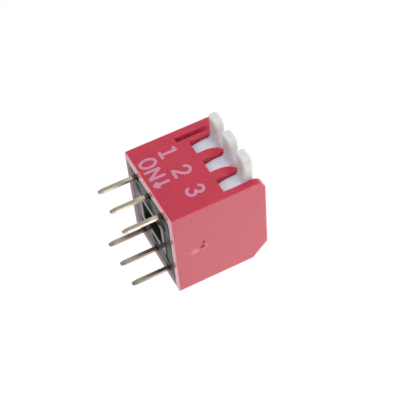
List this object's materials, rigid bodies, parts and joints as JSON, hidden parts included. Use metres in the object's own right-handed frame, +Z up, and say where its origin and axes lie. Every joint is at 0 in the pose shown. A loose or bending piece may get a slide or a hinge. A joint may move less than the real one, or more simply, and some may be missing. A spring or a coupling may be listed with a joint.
{
  "type": "dip switch",
  "caption": "Piano-style dual in-line switch: side levers rock in a moulded cover, each pressing a sprung ball over contact pads, with through-hole leads below.",
  "frame": {"origin": "on the seating plane, midway between the two rows of leads and on the middle pole", "axes": "+X along the row of poles towards the one numbered 3, -Y towards the lever face, +Z up, away from the circuit board"},
  "size_m": [0.0092, 0.0126, 0.0128],
  "materials": {
    "cover_plastic": "satin moulded",
    "base_plastic": "satin moulded",
    "lever_plastic": "satin moulded",
    "spring_steel": "drawn wire",
    "ball_plating": "gold plated",
    "terminal_plating": "pale gold plated"
  },
  "bodies": {
    "housing": {"cover": "cover_plastic", "base": "base_plastic", "front_terminal_1": "terminal_plating", "front_terminal_2": "terminal_plating", "front_terminal_3": "terminal_plating", "rear_terminal_1": "terminal_plating", "rear_terminal_2": "terminal_plating", "rear_terminal_3": "terminal_plating"},
    "rocker_1": {"lever_1": "lever_plastic", "contact_spring_1": "spring_steel", "contact_ball_1": "ball_plating"},
    "rocker_2": {"lever_2": "lever_plastic", "contact_spring_2": "spring_steel", "contact_ball_2": "ball_plating"},
    "rocker_3": {"lever_3": "lever_plastic", "contact_spring_3": "spring_steel", "contact_ball_3": "ball_plating"}
  },
  "joints": [
    {"name": "lever_1_hinge", "type": "hinge", "parent": "housing", "child": "rocker_1", "pos_m": [-0.00254, 0, 0.00715], "axis": [1, 0, 0], "range_deg": [0, 21.5]},
    {"name": "lever_2_hinge", "type": "hinge", "parent": "housing", "child": "rocker_2", "pos_m": [0, 0, 0.00715], "axis": [1, 0, 0], "range_deg": [0, 21.5]},
    {"name": "lever_3_hinge", "type": "hinge", "parent": "housing", "child": "rocker_3", "pos_m": [0.00254, 0, 0.00715], "axis": [1, 0, 0], "range_deg": [0, 21.5]}
  ]
}
